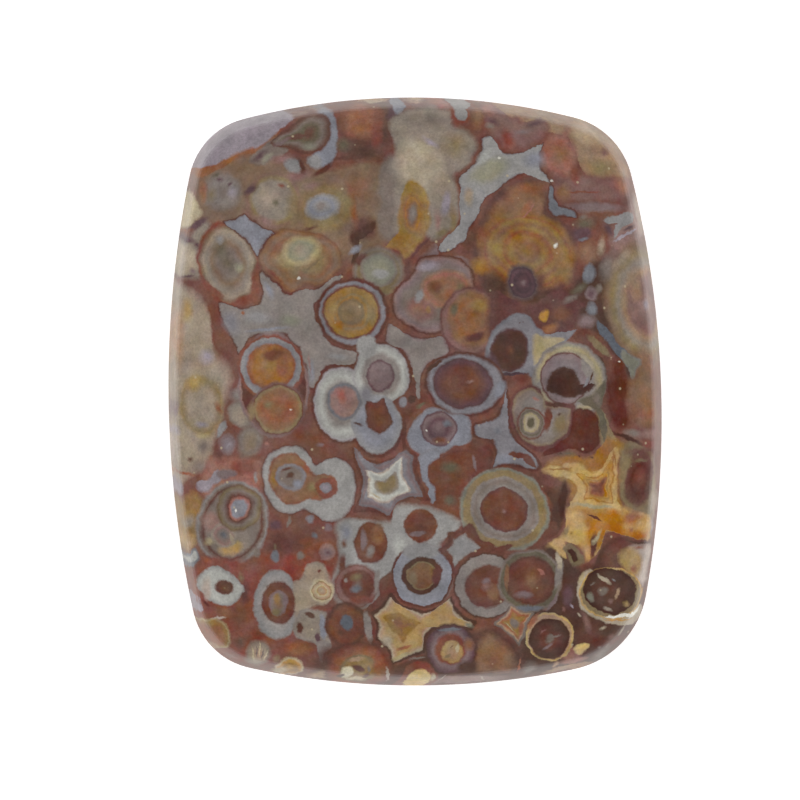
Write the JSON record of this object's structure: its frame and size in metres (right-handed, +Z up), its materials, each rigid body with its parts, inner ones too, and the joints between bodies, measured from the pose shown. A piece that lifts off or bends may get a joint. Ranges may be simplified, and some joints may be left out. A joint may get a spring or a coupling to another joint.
{
  "type": "palm root agate cabochon",
  "caption": "Polished agate cabochon with a cushion outline, a low dome, a tapered girdle and a flat back for a bezel or glue setting.",
  "frame": {"origin": "middle of the flat back", "axes": "+Z up out of the dome, +Y along the stone's length towards the picture's top, +X across it to the picture's right"},
  "size_m": [0.0302, 0.036, 0.0055],
  "materials": {
    "palm_root_agate": "polished, brown and red root eyes in blue-grey chalcedony"
  },
  "bodies": {
    "root": {"cabochon": "palm_root_agate"}
  },
  "joints": []
}
